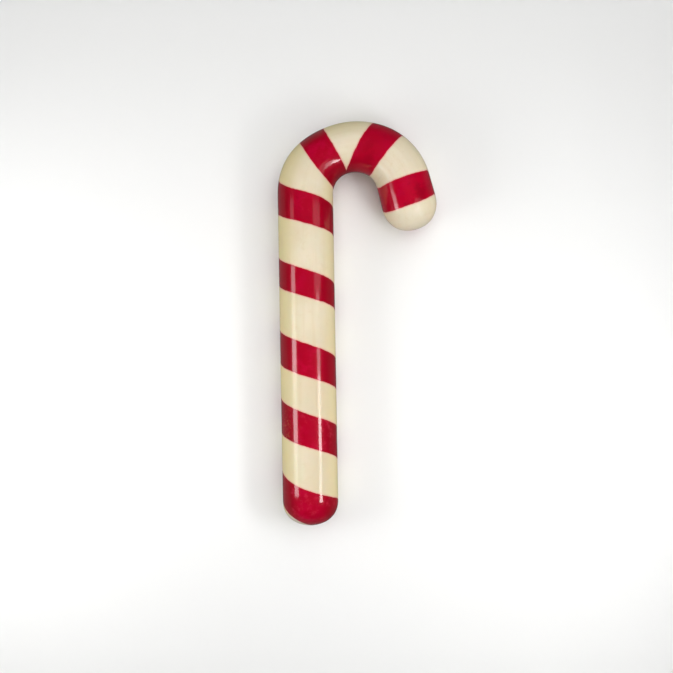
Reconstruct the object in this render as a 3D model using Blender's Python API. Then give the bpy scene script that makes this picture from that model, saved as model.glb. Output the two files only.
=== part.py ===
"""A thick hooked candy cane, cast in one piece, lying flat with its shown side up.

Metres, +Z up. The stem runs along +Y and the hook bends over towards +X. The cane is
round all the way, and only a narrow strip underneath is flat, so that it lies still.
The origin is the bottom centre of its box.
"""

from math import cos, pi, sin

import bmesh
import bpy
from mathutils import Matrix, Vector

# Driving dimensions, in metres and degrees.
STEM_RADIUS = 0.0103
CROWN_RADIUS = 0.0093
ARM_RADIUS = 0.0102
STEM_LENGTH = 0.1144
# Each bend of the hook in turn: the centreline's radius, and how far it turns.
HOOK_BENDS = ((0.0161, 49.0), (0.0205, 63.0), (0.0165, 54.0))
ARM_LENGTH = 0.0083
# Where along the centreline the cane starts to thin, is thinnest, and is full again.
THINNING_STARTS = 0.1195
THINNEST_AT = 0.1373
THINNING_ENDS = 0.1780
FOOT_DOME = 0.0091
ARM_DOME = 0.0106
FLAT_DEPTH = 0.0002

# How finely the shape is divided.
STEM_STEP = 0.0104
HOOK_STEP_DEGREES = 4.5
DOME_RINGS = 9
SECTION_SIDES = 40
WELD_DISTANCE = 0.00001

CREAM = (0.80, 0.69, 0.48, 1.0)
GLOSS_ROUGHNESS = 0.16


def collection(name):
    """A collection linked into the scene."""
    made = bpy.data.collections.new(name)
    bpy.context.scene.collection.children.link(made)
    return made


def eased(amount):
    """0 to 1 with a level start and a level end."""
    return amount * amount * (3 - 2 * amount)


def radius_at(distance):
    """The cane's radius, by distance along its centreline from the start of the stem."""
    if distance <= THINNING_STARTS:
        return STEM_RADIUS
    if distance <= THINNEST_AT:
        share = (distance - THINNING_STARTS) / (THINNEST_AT - THINNING_STARTS)
        return STEM_RADIUS + (CROWN_RADIUS - STEM_RADIUS) * eased(share)
    share = min(1.0, (distance - THINNEST_AT) / (THINNING_ENDS - THINNEST_AT))
    return CROWN_RADIUS + (ARM_RADIUS - CROWN_RADIUS) * eased(share)


def centreline():
    """Points, headings and distances: straight up the stem, round the hook, down the arm."""
    stem_points = round(STEM_LENGTH / STEM_STEP)
    stations = [
        (Vector((0, STEM_LENGTH * step / stem_points, 0)), 0.0, STEM_LENGTH * step / stem_points)
        for step in range(stem_points + 1)
    ]
    point, heading, distance = stations[-1]
    for bend_radius, degrees in HOOK_BENDS:
        side = Vector((cos(heading), -sin(heading), 0))
        centre = point + side * bend_radius
        steps = round(degrees / HOOK_STEP_DEGREES)
        for step in range(1, steps + 1):
            turned = degrees * pi / 180 * step / steps
            offset = Matrix.Rotation(-turned, 3, "Z") @ side
            place = centre - offset * bend_radius
            stations.append((place, heading + turned, distance + bend_radius * turned))
        point, heading, distance = stations[-1]
    ahead = Vector((sin(heading), cos(heading), 0))
    stations.append((point + ahead * ARM_LENGTH, heading, distance + ARM_LENGTH))
    return stations


def dome(end, ahead, dome_length, full_radius):
    """Rings of a rounded end, from just past its full width to its tip."""
    rings = []
    for ring in range(1, DOME_RINGS + 1):
        angle = pi / 2 * ring / (DOME_RINGS + 0.4)
        rings.append((end + ahead * dome_length * sin(angle), full_radius * cos(angle)))
    return rings


def cane_sections():
    """Every section of the cane as a centre and a radius, from the foot to the arm's tip."""
    stations = centreline()
    foot = stations[0][0]
    arm_end, arm_heading, arm_distance = stations[-1]
    arm_ahead = Vector((sin(arm_heading), cos(arm_heading), 0))
    sections = dome(foot, Vector((0, -1, 0)), FOOT_DOME, STEM_RADIUS)[::-1]
    sections += [(point, radius_at(distance)) for point, heading, distance in stations]
    sections += dome(arm_end, arm_ahead, ARM_DOME, radius_at(arm_distance))
    return sections


def tube_object(name, sections):
    """A tube through the sections: a bevelled curve that is turned into a closed mesh."""
    curve = bpy.data.curves.new(name + "_line", "CURVE")
    curve.dimensions = "3D"
    curve.twist_mode = "Z_UP"
    curve.bevel_depth = STEM_RADIUS
    curve.bevel_resolution = SECTION_SIDES // 2 - 2
    curve.use_fill_caps = True
    spline = curve.splines.new("POLY")
    spline.points.add(len(sections) - 1)
    for control, (centre, section_radius) in zip(spline.points, sections):
        control.co = (*centre, 1)
        control.radius = section_radius / STEM_RADIUS
    line = bpy.data.objects.new(name + "_line", curve)
    bpy.context.scene.collection.objects.link(line)

    evaluated = line.evaluated_get(bpy.context.evaluated_depsgraph_get())
    mesh = bpy.data.meshes.new_from_object(evaluated)
    mesh.name = name
    shape = bmesh.new()
    shape.from_mesh(mesh)
    bmesh.ops.remove_doubles(shape, verts=shape.verts, dist=WELD_DISTANCE)
    bmesh.ops.recalc_face_normals(shape, faces=shape.faces)
    shape.to_mesh(mesh)
    shape.free()
    made = bpy.data.objects.new(name, mesh)
    made.matrix_world = line.matrix_world
    bpy.data.objects.remove(line)
    return made


def candy_material():
    """Glossy cream candy."""
    material = bpy.data.materials.new("striped_candy")
    material.use_nodes = True
    surface = material.node_tree.nodes["Principled BSDF"]
    surface.inputs["Base Color"].default_value = CREAM
    surface.inputs["Roughness"].default_value = GLOSS_ROUGHNESS
    surface.inputs["Metallic"].default_value = 0.0
    return material


def set_on_origin(made):
    """Puts the box's centre over the origin, and the flat's plane at height zero."""
    corners = [Vector(corner) for corner in made.bound_box]
    middle = (corners[0] + corners[6]) / 2
    lift = STEM_RADIUS - FLAT_DEPTH
    made.data.transform(Matrix.Translation((-middle.x, -middle.y, lift)))
    made.data.update()


def floor_cutter(made, cutters):
    """A slab under the cane, whose top at height zero cuts the resting flat."""
    slab_thickness = 4 * STEM_RADIUS
    bpy.ops.mesh.primitive_cube_add(size=1, location=(0, 0, -slab_thickness / 2))
    slab = bpy.context.object
    slab.name = "resting_plane_cutter"
    slab.data.transform(Matrix.Diagonal((2 * STEM_LENGTH, 2 * STEM_LENGTH, slab_thickness, 1)))
    slab.hide_render = True
    slab.display_type = "WIRE"
    for owner in list(slab.users_collection):
        owner.objects.unlink(slab)
    cutters.objects.link(slab)
    cut = made.modifiers.new("resting_flat", "BOOLEAN")
    cut.operation = "DIFFERENCE"
    cut.solver = "EXACT"
    cut.object = slab


def build():
    for old in list(bpy.data.objects):
        bpy.data.objects.remove(old)
    candy_cane = collection("candy_cane")
    cutters = collection("cutters")

    cane = tube_object("cane", cane_sections())
    candy_cane.objects.link(cane)
    set_on_origin(cane)
    cane.data.materials.append(candy_material())
    cane.data.shade_smooth()
    floor_cutter(cane, cutters)


build()
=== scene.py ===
"""The looks of a thick striped candy cane, lying flat with its shown side up.

One piece stands for the whole cane. A ring is drawn up the stem, round the hook and out
into two domes, and then set to its true thickness, with the slight unevenness of cast
sugar. The stripe is one ribbon that winds round the cane, and each turn of it has its own
place and slant, from a table of measured values. Lengths are in metres, apart from that
table, which is in millimetres.
"""

from math import atan2, ceil, cos, exp, hypot, log, pi, radians, sin

import bpy
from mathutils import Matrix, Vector, noise


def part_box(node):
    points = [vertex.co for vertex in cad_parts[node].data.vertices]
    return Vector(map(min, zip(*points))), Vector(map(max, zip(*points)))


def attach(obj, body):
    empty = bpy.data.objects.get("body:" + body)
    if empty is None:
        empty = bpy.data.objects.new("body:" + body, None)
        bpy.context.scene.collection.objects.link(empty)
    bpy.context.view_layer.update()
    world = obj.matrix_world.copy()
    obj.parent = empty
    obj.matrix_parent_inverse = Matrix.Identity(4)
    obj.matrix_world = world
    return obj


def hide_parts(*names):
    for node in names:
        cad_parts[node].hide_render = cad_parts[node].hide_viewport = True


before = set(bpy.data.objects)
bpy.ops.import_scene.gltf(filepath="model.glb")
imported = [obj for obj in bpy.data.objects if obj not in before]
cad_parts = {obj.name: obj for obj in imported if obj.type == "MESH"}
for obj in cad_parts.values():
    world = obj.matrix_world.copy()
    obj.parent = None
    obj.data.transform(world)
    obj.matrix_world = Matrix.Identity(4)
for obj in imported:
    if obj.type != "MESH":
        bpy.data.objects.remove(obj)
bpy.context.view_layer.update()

# The cane's own sizes.
STEM_RADIUS = 0.0103
CROWN_RADIUS = 0.0093
ARM_RADIUS = 0.0102
STEM_LENGTH = 0.1144
HOOK_BENDS = ((0.0161, 49.0), (0.0205, 63.0), (0.0165, 54.0))
ARM_LENGTH = 0.0083
THINNING_STARTS = 0.1195
THINNEST_AT = 0.1373
THINNING_ENDS = 0.1780
FOOT_DOME = 0.0091
ARM_DOME = 0.0106
FLAT_DEPTH = 0.0002

# The ring that is drawn along the cane, and how far apart its copies are.
RING_SIDES = 40
RING_STEP = 0.0017
DOME_RINGS = 9
REFINEMENT = 2

# Unevenness of the cast surface: how wide each swell is, and how deep.
SLOW_SWELL = (0.030, 0.00004)
SOFT_RIPPLE = (0.0075, 0.000006)
FOOT_KNOBBLE = (0.0020, 0.00005)
FOOT_KNOBBLE_REACH = 0.009

# On its shown side, the foot slopes down before its dome starts, along a slanting line:
# where that is on top, how much nearer to the tip it is per radian to the right, how steep
# it is, how rounded its start is, and how far down it goes.
SLOPE_STARTS = 0.0005
SLOPE_SLANT = 0.0015
SLOPE_STEEPNESS = 0.24
SLOPE_ROUNDING = 0.0004
SLOPE_DEPTH = 0.0004
# A dome is a little fuller than an ellipse.
DOME_FULLNESS = 2.2

# The stripe, turn by turn from the foot to the arm, in millimetres along the cane. These are
# measured values, worked out beforehand and not from the sizes above. Each row has where the
# red starts, and where it ends, each at 60 degrees to the left, on top, and 60 degrees to the
# right. The first and the last turn run off the cane's ends, on the underside.
STRIPE_TURNS = (
    ((-29.0, -38.0, -48.0), (-18.0, -22.0, -26.0)),
    ((-3.6, -12.6, -19.0), (9.6, 5.1, 1.8)),
    ((24.3, 20.9, 17.3), (37.0, 33.0, 29.2)),
    ((50.0, 46.5, 43.0), (62.2, 58.5, 54.6)),
    ((78.8, 75.5, 72.4), (89.1, 85.5, 81.9)),
    ((105.5, 102.3, 99.5), (116.4, 113.7, 110.3)),
    ((127.1, 124.9, 120.7), (134.2, 134.7, 136.4)),
    ((147.3, 143.9, 137.6), (155.4, 155.0, 154.5)),
    ((165.8, 166.4, 167.2), (174.8, 176.5, 176.5)),
    ((193.0, 193.5, 194.5), (204.0, 204.5, 205.0)),
)
STATION = radians(60)
MILLIMETRE = 0.001
LEAST_GIRTH = 0.3
NO_STRIPE = -1000.0

# Finishes, as linear colours.
CREAM = (0.77, 0.67, 0.49, 1)
CREAM_PALE = (0.82, 0.73, 0.56, 1)
CREAM_DEEP = (0.71, 0.59, 0.38, 1)
# Painted shade: a darker cream for the right of the lower stem.
CREAM_LOW_SHADE = (0.71, 0.60, 0.42, 1)
CREAM_TIP = (0.83, 0.74, 0.60, 1)
# Painted shade: a yellower, darker cream for the sides of the cane.
CREAM_SIDE_SHADE = (0.75, 0.645, 0.34, 1)
PINK = (0.84, 0.36, 0.32, 1)
RED = (0.43, 0.0, 0.019, 1)
# Painted light: a brighter red for the arm, as if lit more strongly there.
RED_ARM_LIT = (0.51, 0.0, 0.024, 1)
RED_BRIGHT = (0.53, 0.001, 0.035, 1)
RED_DEEP = (0.31, 0.0, 0.010, 1)
# Painted shade: a deeper red for the sides of the cane.
RED_SIDE_SHADE = (0.31, 0.0, 0.011, 1)
RED_GRAIN = (0.58, 0.05, 0.08, 1)
RED_SMEAR = (0.56, 0.025, 0.06, 1)
RED_PIT = (0.36, 0.045, 0.025, 1)
FLOOR_WHITE = (0.92, 0.92, 0.91, 1)


# ---------------------------------------------------------------- the cane's line

class Stretch:
    """One straight or bent length of the cane's centreline."""

    def __init__(self, start, heading, distance, length, bend_radius=None):
        self.start = start
        self.heading = heading
        self.distance = distance
        self.length = length
        self.bend_radius = bend_radius
        self.curvature = 1 / bend_radius if bend_radius else 0.0
        if bend_radius:
            self.centre = start + side_of(heading) * bend_radius

    @property
    def end_heading(self):
        return self.heading + self.length * self.curvature

    @property
    def end(self):
        if not self.bend_radius:
            return self.start + ahead_of(self.heading) * self.length
        return self.centre - side_of(self.end_heading) * self.bend_radius

    def locate(self, point):
        """How far along this stretch a point is, and how far it lies to the right."""
        if not self.bend_radius:
            offset = point - self.start
            return offset.dot(ahead_of(self.heading)), offset.dot(side_of(self.heading))
        spoke = self.centre - point
        turned = atan2(-spoke.y, spoke.x) - self.heading
        turned = (turned + pi) % (2 * pi) - pi
        return turned * self.bend_radius, self.bend_radius - spoke.length

    def place(self, along):
        """The centreline's point and heading at a length along this stretch."""
        heading = self.heading + along * self.curvature
        if not self.bend_radius:
            return self.start + ahead_of(heading) * along, heading
        return self.centre - side_of(heading) * self.bend_radius, heading


def ahead_of(heading):
    return Vector((sin(heading), cos(heading), 0))


def side_of(heading):
    return Vector((cos(heading), -sin(heading), 0))


def cane_line():
    """The stem, the hook's three bends and the arm, from the foot's dome onwards."""
    low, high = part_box("cane")
    foot = Vector((low.x + STEM_RADIUS, low.y + FOOT_DOME, STEM_RADIUS - FLAT_DEPTH))
    line = [Stretch(foot, 0.0, 0.0, STEM_LENGTH)]
    for bend_radius, degrees in HOOK_BENDS:
        last = line[-1]
        line.append(Stretch(last.end, last.end_heading, last.distance + last.length,
                            bend_radius * radians(degrees), bend_radius))
    last = line[-1]
    line.append(Stretch(last.end, last.end_heading, last.distance + last.length, ARM_LENGTH))
    return line


def eased(amount):
    """0 to 1 with a level start and a level end."""
    return amount * amount * (3 - 2 * amount)


def radius_at(distance):
    """The cane's radius, by distance along its line from the foot's dome."""
    if distance <= THINNING_STARTS:
        return STEM_RADIUS
    if distance <= THINNEST_AT:
        share = (distance - THINNING_STARTS) / (THINNEST_AT - THINNING_STARTS)
        return STEM_RADIUS + (CROWN_RADIUS - STEM_RADIUS) * eased(share)
    share = min(1.0, (distance - THINNEST_AT) / (THINNING_ENDS - THINNEST_AT))
    return CROWN_RADIUS + (ARM_RADIUS - CROWN_RADIUS) * eased(share)


LINE = cane_line()
LINE_LENGTH = LINE[-1].distance + LINE[-1].length
ARM_END_RADIUS = radius_at(LINE_LENGTH)


# ---------------------------------------------------------------- drawing the cane

def draw_dome(outwards, dome_length, full_radius):
    """Draws the selected ring out into a rounded end, and closes it at a point."""
    reached, width = 0.0, full_radius
    for ring in range(1, DOME_RINGS + 1):
        angle = pi / 2 * ring / (DOME_RINGS + 1)
        reach, next_width = dome_length * sin(angle), full_radius * cos(angle)
        move = outwards * (reach - reached)
        bpy.ops.mesh.extrude_edges_move(TRANSFORM_OT_translate={"value": move})
        bpy.ops.transform.resize(value=(next_width / width,) * 3)
        reached, width = reach, next_width
    bpy.ops.mesh.extrude_edges_move(
        TRANSFORM_OT_translate={"value": outwards * (dome_length - reached)})
    bpy.ops.mesh.merge(type="CENTER")


def draw_straight(stretch):
    steps = ceil(stretch.length / RING_STEP)
    move = ahead_of(stretch.heading) * stretch.length / steps
    for _ in range(steps):
        bpy.ops.mesh.extrude_edges_move(TRANSFORM_OT_translate={"value": move})


def draw_bend(stretch):
    turn = stretch.length / stretch.bend_radius
    bpy.ops.mesh.spin(steps=ceil(stretch.length / RING_STEP), angle=turn,
                      center=stretch.centre, axis=(0, 0, 1), dupli=False)


def select_ring_at(cane, y):
    """Selects only the open ring at the foot of the stem."""
    bpy.ops.mesh.select_all(action="DESELECT")
    bpy.ops.object.mode_set(mode="OBJECT")
    for vertex in cane.data.vertices:
        vertex.select = abs(vertex.co.y - y) < RING_STEP / 10
    bpy.ops.object.mode_set(mode="EDIT")


def draw_cane():
    """A ring drawn up the stem, round the hook, down the arm and out into both domes."""
    bpy.ops.object.select_all(action="DESELECT")
    foot = LINE[0].start
    bpy.ops.mesh.primitive_circle_add(vertices=RING_SIDES, radius=STEM_RADIUS,
                                      location=foot, rotation=(pi / 2, 0, 0))
    cane = bpy.context.object
    cane.name = "striped_cane"
    bpy.ops.object.transform_apply(location=True, rotation=True, scale=True)
    bpy.ops.object.mode_set(mode="EDIT")
    bpy.ops.mesh.select_mode(type="VERT")
    bpy.ops.mesh.select_all(action="SELECT")
    for stretch in LINE:
        if stretch.bend_radius:
            draw_bend(stretch)
        else:
            draw_straight(stretch)
    draw_dome(ahead_of(LINE[-1].end_heading), ARM_DOME, STEM_RADIUS)
    select_ring_at(cane, foot.y)
    draw_dome(Vector((0, -1, 0)), FOOT_DOME, STEM_RADIUS)
    bpy.ops.mesh.select_all(action="SELECT")
    bpy.ops.mesh.remove_doubles(threshold=0.00001)
    bpy.ops.mesh.normals_make_consistent(inside=False)
    bpy.ops.object.mode_set(mode="OBJECT")

    finer = cane.modifiers.new("finer", "SUBSURF")
    finer.levels = REFINEMENT
    finer.render_levels = REFINEMENT
    bpy.ops.object.modifier_apply(modifier=finer.name)
    bpy.ops.object.shade_smooth()
    return cane


# ---------------------------------------------------------------- the surface's places

class SurfacePlace:
    """Where a point of the surface is: along the cane, round it, and how thick it is there."""

    def __init__(self, point):
        flat = Vector((point.x, point.y, 0))
        height = point.z - LINE[0].start.z
        self.stretch, along, right = self.nearest(flat)
        self.beyond = 0.0
        self.dome = 0.0
        if self.stretch is LINE[0] and along < 0:
            self.beyond, along, self.dome = along, 0.0, FOOT_DOME
        elif self.stretch is LINE[-1] and along > self.stretch.length:
            self.beyond, along = along - self.stretch.length, self.stretch.length
            self.dome = ARM_DOME
        self.along = along
        self.distance = self.stretch.distance + along
        self.radius = radius_at(self.distance)
        self.angle = atan2(right, height)
        self.tilt = atan2(abs(self.beyond) / self.dome, hypot(right, height) / self.radius) \
            if self.dome else 0.0

    @staticmethod
    def nearest(flat):
        """The stretch that a point belongs to, and its place there."""
        for stretch in LINE:
            start = Vector((stretch.start.x, stretch.start.y, 0))
            level = Stretch(start, stretch.heading, 0.0, stretch.length, stretch.bend_radius)
            along, right = level.locate(flat)
            first = stretch is LINE[0]
            last = stretch is LINE[-1]
            if (first or along >= -1e-7) and (last or along <= stretch.length) \
                    and abs(right) < 1.2 * STEM_RADIUS:
                return stretch, along, right
        raise ValueError("a point lies off the cane")

    @property
    def girth_radius(self):
        """The distance from the axis, smaller on a dome."""
        return self.radius * cos(self.tilt)

    @property
    def run(self):
        """The length along the cane, measured over the dome's surface at its ends."""
        over_dome = self.tilt * (self.radius + self.dome) / 2
        return self.distance + (over_dome if self.beyond > 0 else -over_dome)

    def straightened(self):
        """The same place on a cane with its hook straightened, for patterns that run along it."""
        reach = self.girth_radius
        return Vector((reach * sin(self.angle), self.run, reach * cos(self.angle)))

    def surface(self, swell):
        """The point itself, at its true thickness plus a swell."""
        centre, heading = self.stretch.place(self.along)
        outwards = side_of(heading) * sin(self.angle) + Vector((0, 0, cos(self.angle)))
        if not self.dome:
            return centre + outwards * (self.radius + swell)
        way = 1 if self.beyond > 0 else -1
        reach = (self.dome + swell) * sin(self.tilt) ** (2 / DOME_FULLNESS)
        width = (self.radius + swell) * max(0.0, cos(self.tilt)) ** (2 / DOME_FULLNESS)
        return centre + ahead_of(heading) * reach * way + outwards * width


def swell_at(place):
    """How far the surface stands above or below a true round, as cast."""
    spot = place.straightened()
    slow_width, slow_depth = SLOW_SWELL
    ripple_width, ripple_depth = SOFT_RIPPLE
    knob_width, knob_depth = FOOT_KNOBBLE
    swell = noise.noise(spot / slow_width) * slow_depth
    swell += noise.noise(spot / ripple_width) * ripple_depth
    near_foot = max(0.0, min(1.0, (FOOT_KNOBBLE_REACH / 2 - place.run) / FOOT_KNOBBLE_REACH))
    swell += noise.noise(spot / knob_width) * knob_depth * eased(near_foot)
    return swell - foot_slope(place)


def foot_slope(place):
    """How far the foot's shown side has dropped."""
    turn = max(-STATION, min(STATION, place.angle))
    before = (SLOPE_STARTS - SLOPE_SLANT * turn - place.run) / SLOPE_ROUNDING
    if before < -20 or cos(place.angle) <= 0:
        return 0.0
    reach = SLOPE_ROUNDING * (log(1 + exp(before)) if before < 20 else before)
    drop = SLOPE_DEPTH * (1 - exp(-reach * SLOPE_STEEPNESS / SLOPE_DEPTH))
    return drop * cos(place.angle) * cos(place.tilt)


# ---------------------------------------------------------------- the stripe

def front_curve(values, angle):
    """A parabola through the values at the left, the top and the right, and its slope."""
    left, top, right = values
    turn = angle / STATION
    bend = (left + right) / 2 - top
    lean = (right - left) / 2
    return top + lean * turn + bend * turn * turn, (lean + 2 * bend * turn) / STATION


def eased_curve(start, start_slope, end, end_slope, span, share):
    """A cubic between two values with given slopes, and its slope."""
    rest = 1 - share
    value = start * (1 + 2 * share) * rest * rest + end * share * share * (3 - 2 * share)
    value += span * (start_slope * share * rest * rest - end_slope * share * share * rest)
    slope = 6 * share * rest * (end - start) / span
    slope += start_slope * rest * (1 - 3 * share) + end_slope * share * (3 * share - 2)
    return value, slope


def ribbon_edge(turn, which, angle):
    """Where an edge of one turn lies, and its slope. An angle past 180 degrees either way
    is on the underside, on the way to the next turn."""
    values = STRIPE_TURNS[turn][which]
    if abs(angle) <= STATION:
        return front_curve(values, angle)
    onwards = turn - 1 if angle > 0 else turn + 1
    if not 0 <= onwards < len(STRIPE_TURNS):
        return front_curve(values, max(-STATION, min(STATION, angle)))
    other = STRIPE_TURNS[onwards][which]
    near, near_slope = front_curve(values, STATION if angle > 0 else -STATION)
    far = other[0] if angle > 0 else other[2]
    span = (pi - STATION) * (1 if angle > 0 else -1)
    under = (near + far) / 2
    under_slope = (far - near) / (2 * span)
    share = (abs(angle) - STATION) / (pi - STATION)
    return eased_curve(near, near_slope, under, under_slope, span, share)


def stripe_depth(place):
    """How far a place lies inside the red, in millimetres, and below zero in the cream."""
    run = place.run / MILLIMETRE
    girth = max(place.girth_radius / MILLIMETRE, LEAST_GIRTH)
    stretch = 1 - place.stretch.curvature * place.girth_radius * sin(place.angle)
    deepest = NO_STRIPE
    for turn in range(len(STRIPE_TURNS)):
        start, start_slope = ribbon_edge(turn, 0, place.angle)
        end, end_slope = ribbon_edge(turn, 1, place.angle)
        above_start = (run - start) / hypot(1 / stretch, start_slope / girth)
        below_end = (end - run) / hypot(1 / stretch, end_slope / girth)
        deepest = max(deepest, min(above_start, below_end))
    return deepest


def shape_and_stripe(cane):
    """Sets every point at its true thickness, level underneath, and records the stripe there."""
    mesh = cane.data
    depth = mesh.attributes.new("stripe_depth", "FLOAT", "POINT")
    straightened = mesh.attributes.new("straightened", "FLOAT_VECTOR", "POINT")
    for vertex in mesh.vertices:
        place = SurfacePlace(vertex.co)
        depth.data[vertex.index].value = stripe_depth(place)
        straightened.data[vertex.index].vector = place.straightened()
        point = place.surface(swell_at(place))
        point.z = max(point.z, 0.0)
        vertex.co = point
    mesh.update()


# ---------------------------------------------------------------- finishes

class Wire:
    """A shader socket carrying a number, which takes part in Python sums."""

    def __init__(self, finish, socket):
        self.finish = finish
        self.socket = socket

    def sum(self, operation, *values):
        return self.finish.node("ShaderNodeMath", {"operation": operation}, *values)

    def __add__(self, other):
        return self.sum("ADD", self, other)

    __radd__ = __add__

    def __sub__(self, other):
        return self.sum("SUBTRACT", self, other)

    def __rsub__(self, other):
        return self.sum("SUBTRACT", other, self)

    def __mul__(self, other):
        return self.sum("MULTIPLY", self, other)

    __rmul__ = __mul__

    def __pow__(self, other):
        return self.sum("POWER", self, other)


class Nodes:
    """A node tree, with its nodes added by one method."""

    def __init__(self, tree, surface):
        self.tree = tree
        self.surface = tree.nodes[surface]

    def connect(self, socket, value):
        if isinstance(value, Wire):
            self.tree.links.new(value.socket, socket)
        else:
            socket.default_value = value

    def node(self, kind, settings, *values, output=0, **named):
        """A node of that kind: its settings first, then its sockets by order or by name."""
        made = self.tree.nodes.new(kind)
        for setting, value in settings.items():
            setattr(made, setting, value)
        for socket, value in zip(made.inputs, values):
            self.connect(socket, value)
        for name, value in named.items():
            self.connect(made.inputs[name], value)
        return Wire(self, made.outputs[output])

    def set(self, **named):
        for name, value in named.items():
            self.connect(self.surface.inputs[name.replace("_", " ")], value)

    def blend(self, amount, first, second):
        """A colour between two."""
        made = self.tree.nodes.new("ShaderNodeMix")
        made.data_type = "RGBA"
        self.connect(made.inputs["Factor"], amount)
        self.connect(made.inputs[6], first)
        self.connect(made.inputs[7], second)
        return Wire(self, made.outputs[2])

    def between(self, value, low, high):
        """0 below low, 1 above high, and eased between them."""
        return self.node("ShaderNodeMapRange", {"interpolation_type": "SMOOTHSTEP"},
                         value, low, high)


class Finish(Nodes):
    """A material."""

    def __init__(self, name):
        self.material = bpy.data.materials.new(name)
        self.material.use_nodes = True
        super().__init__(self.material.node_tree, "Principled BSDF")

    def attribute(self, name, output):
        return self.node("ShaderNodeAttribute", {"attribute_name": name}, output=output)

    def mottle(self, where, size, detail=2.0, roughness=0.5):
        """Soft noise from 0 to 1, with patches of that size in metres."""
        return self.node("ShaderNodeTexNoise", {}, Vector=where, Scale=1 / size,
                         Detail=detail, Roughness=roughness)


def striped_candy():
    """Cream and deep red candy with a gloss that is brighter on the red."""
    finish = Finish("striped_candy")
    where = finish.attribute("straightened", "Vector")
    depth = finish.attribute("stripe_depth", "Fac")

    across = finish.node("ShaderNodeSeparateXYZ", {}, where, output="X")
    leftwards = -1 * across
    run = finish.node("ShaderNodeSeparateXYZ", {}, where, output="Y")
    drawn = finish.node("ShaderNodeVectorMath", {"operation": "MULTIPLY"}, where, (1, 0.05, 1))

    # The stripe's edge wanders a little, and tints the cream beside it.
    wander = (finish.mottle(where, 0.0030) - 0.5) * 0.40
    wander += (finish.mottle(where, 0.0006) - 0.5) * 0.24
    edge = depth + wander
    red_here = finish.between(edge, -0.12, 0.12)
    bleed = finish.between(edge, -0.65, 0.0) * 0.75

    # Cream: cloudy and faintly streaked, yellower at the sides from painted shade, paler on the
    # arm from painted light, and paler at the tip.
    clouds = finish.between(finish.mottle(where, 0.014, 3.0), 0.35, 0.68)
    streaks = finish.between(finish.mottle(drawn, 0.0016, 3.0, 0.6), 0.45, 0.75) * 0.30
    specks = finish.between(finish.mottle(where, 0.0022, 4.0, 0.65), 0.52, 0.75) * 0.35
    stem = 1 - 0.7 * finish.between(run, 0.136, 0.152)
    # Painted shade: this mask darkens and yellows the cream along both sides, where less light
    # falls.
    side_shade = finish.between(leftwards, 0.001, 0.010) + 0.8 * finish.between(across, 0.004, 0.011)
    # Painted shade: this mask darkens the cream on the right of the lower stem, as if less light
    # reached it.
    low_right_shade = (1 - finish.between(run, 0.035, 0.085)) * finish.between(across, -0.005, 0.004)
    cream = finish.blend(clouds, CREAM, CREAM_PALE)
    # Painted light: the cream on the arm is made paler, as if lit more strongly there.
    cream = finish.blend(finish.between(run, 0.150, 0.175) * 0.8, cream, CREAM_PALE)
    cream = finish.blend(low_right_shade, cream, CREAM_LOW_SHADE)
    cream = finish.blend(side_shade * stem, cream, CREAM_SIDE_SHADE)
    cream = finish.blend(1 - finish.between(run, -0.007, -0.002), cream, CREAM_TIP)
    cream = finish.blend(streaks, cream, CREAM_DEEP)
    cream = finish.blend(specks, cream, CREAM_DEEP)
    cream = finish.blend(bleed, cream, PINK)

    # Red: blotched, deeper at the sides from painted shade, brighter on the arm from painted
    # light, and worn near the foot.
    blotches = finish.between(finish.mottle(where, 0.0045, 4.0, 0.65), 0.45, 0.68)
    shadows = finish.between(finish.mottle(where, 0.009, 4.0, 0.7), 0.48, 0.70) * 0.75
    # Painted shade: this mask deepens the red along both sides, where less light falls.
    red_side_shade = finish.between(across, 0.004, 0.008) + finish.between(leftwards, 0.004, 0.008)
    grains = finish.between(finish.mottle(where, 0.0011, 3.0, 0.7), 0.66, 0.80) * 0.5
    worn = 1 - finish.between(run, 0.028, 0.042)
    smears = finish.between(finish.mottle(where, 0.0030, 4.0, 0.7), 0.52, 0.70) * worn * 0.5
    pits = finish.between(finish.mottle(where, 0.0010, 2.0, 0.6), 0.54, 0.63) * worn
    pitted = finish.between(leftwards, 0.005, 0.008) * finish.between(run, 0.006, 0.012)
    # Painted light: the red on the arm is made brighter, as if lit more strongly there.
    red = finish.blend(finish.between(run, 0.140, 0.170), RED, RED_ARM_LIT)
    red = finish.blend(blotches, red, RED_BRIGHT)
    red = finish.blend(shadows, red, RED_DEEP)
    red = finish.blend(red_side_shade * stem, red, RED_SIDE_SHADE)
    red = finish.blend(grains, red, RED_GRAIN)
    red = finish.blend(smears, red, RED_SMEAR)
    red = finish.blend(pits * pitted, red, RED_PIT)

    finish.set(
        Base_Color=finish.blend(red_here, cream, red),
        Roughness=0.42 - 0.10 * red_here + 0.08 * specks,
        Coat_Weight=0.40 + 0.60 * red_here,
        Coat_Roughness=0.085,
        Coat_IOR=1.5,
        Specular_IOR_Level=0.08,
        Subsurface_Weight=0.25,
        Subsurface_Radius=(1.0, 0.45, 0.25),
        Subsurface_Scale=0.0022,
    )
    return finish.material


def floor_paint():
    finish = Finish("floor_paint")
    finish.set(Base_Color=FLOOR_WHITE, Roughness=0.9, Specular_IOR_Level=0.1)
    return finish.material


# ---------------------------------------------------------------- the studio

# The camera looks straight down. Its place is given from the foot of the stem.
CAMERA_RIGHT_OF_FOOT = 0.01074
CAMERA_UP_FROM_FOOT = 0.06094
CAMERA_HEIGHT = 0.3361
CAMERA_LENS = 48.14
CAMERA_ROLL = radians(-0.97)
CAMERA_SENSOR = 36
FLOOR_SIZE = 6

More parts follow.
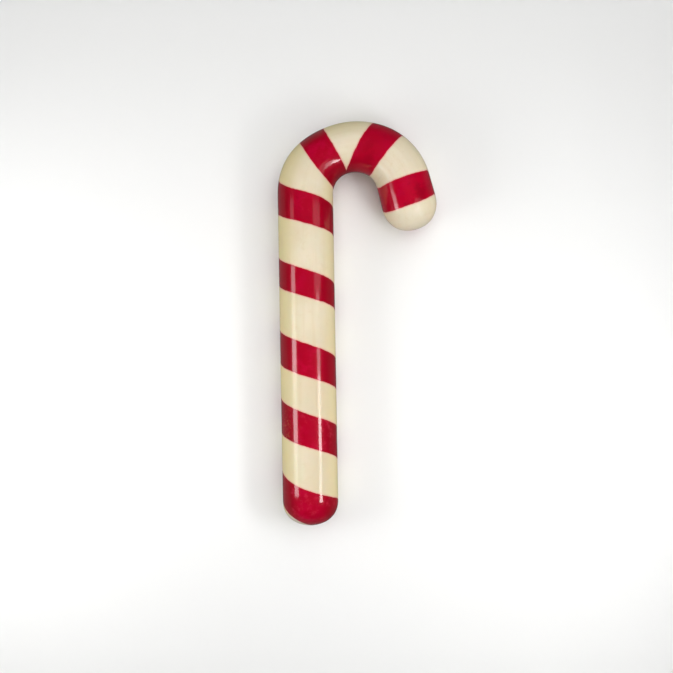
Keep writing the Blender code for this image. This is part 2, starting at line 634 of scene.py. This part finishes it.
# Each light: its name, whether the gloss mirrors it, how far it leans from overhead to the
# right in degrees, its place along the stem, its distance, width and length, and its radiance.
LIGHTS = (
    ("left_strip", True, -55.5, -0.043, 0.198, 0.066, 0.109, 6.7),
    ("left_strip_far", True, -55.5, 0.025, 0.198, 0.062, 0.026, 4.2),
    ("left_strip_end", True, -55.5, 0.056, 0.198, 0.056, 0.036, 1.0),
    ("right_strip", True, 45.5, -0.066, 0.185, 0.037, 0.078, 12.6),
    ("right_strip_far", True, 45.0, -0.004, 0.185, 0.046, 0.046, 3.3),
    ("right_glow", True, 45.5, 0.045, 0.185, 0.098, 0.052, 0.8),
    ("overhead", False, 0, -0.1, 1.1, 1.0, 1.0, 1.1),
    ("overhead_right", False, 28, -0.1, 1.1, 0.6, 0.6, 0.7),
    ("front", False, 20, -0.7, 0.8, 0.8, 0.8, 0.5),
    ("back", False, 15, 0.7, 0.8, 1.1, 1.1, 1.5),
)
AIR = 0.02
GROUND_LEFT = 0.13
GROUND_RIGHT = 0.05


def camera():
    foot = LINE[0].start
    data = bpy.data.cameras.new("camera")
    data.lens = CAMERA_LENS
    data.sensor_width = CAMERA_SENSOR
    data.clip_start = 0.01
    eye = bpy.data.objects.new("camera", data)
    eye.location = foot + Vector((CAMERA_RIGHT_OF_FOOT, CAMERA_UP_FROM_FOOT, CAMERA_HEIGHT))
    eye.rotation_euler = (0, 0, CAMERA_ROLL)
    bpy.context.scene.collection.objects.link(eye)
    bpy.context.scene.camera = eye


def area_light(name, mirrored, lean, along, away, width, length, radiance):
    """A rectangular light beside the stem or above it, turned to face it."""
    data = bpy.data.lights.new(name, "AREA")
    data.shape = "RECTANGLE"
    data.size = width
    data.size_y = length
    data.energy = radiance * pi * width * length
    light = bpy.data.objects.new(name, data)
    foot = LINE[0].start
    stem = Vector((foot.x, along, foot.z))
    light.rotation_euler = (0, radians(lean), 0)
    light.location = stem + Vector((sin(radians(lean)), 0, cos(radians(lean)))) * away
    light.visible_glossy = mirrored
    light.visible_camera = False
    bpy.context.scene.collection.objects.link(light)


def studio_air():
    """Dim all round, with a paler ground to the left that shows in the glossy sides."""
    world = bpy.data.worlds.new("studio_air")
    world.use_nodes = True
    air = Nodes(world.node_tree, "Background")
    way = air.node("ShaderNodeTexCoord", {})
    right = air.node("ShaderNodeSeparateXYZ", {}, way, output="X")
    up = air.node("ShaderNodeSeparateXYZ", {}, way, output="Z")
    ground = 1 - air.between(up, -0.06, 0.0)
    paleness = GROUND_LEFT + (GROUND_RIGHT - GROUND_LEFT) * air.between(right, -0.3, 0.3)
    air.set(Color=(1, 1, 1, 1), Strength=AIR + paleness * ground)
    return world


def studio():
    bpy.ops.object.select_all(action="DESELECT")
    bpy.ops.mesh.primitive_plane_add(size=FLOOR_SIZE)
    floor = bpy.context.object
    floor.name = "floor"
    floor.data.materials.append(floor_paint())
    floor.visible_glossy = False

    for light in LIGHTS:
        area_light(*light)
    bpy.context.scene.world = studio_air()
    bpy.context.scene.view_settings.view_transform = "Standard"


def main():
    cane = draw_cane()
    shape_and_stripe(cane)
    cane.data.materials.append(striped_candy())
    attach(cane, "root")
    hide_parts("cane")
    camera()
    studio()


main()
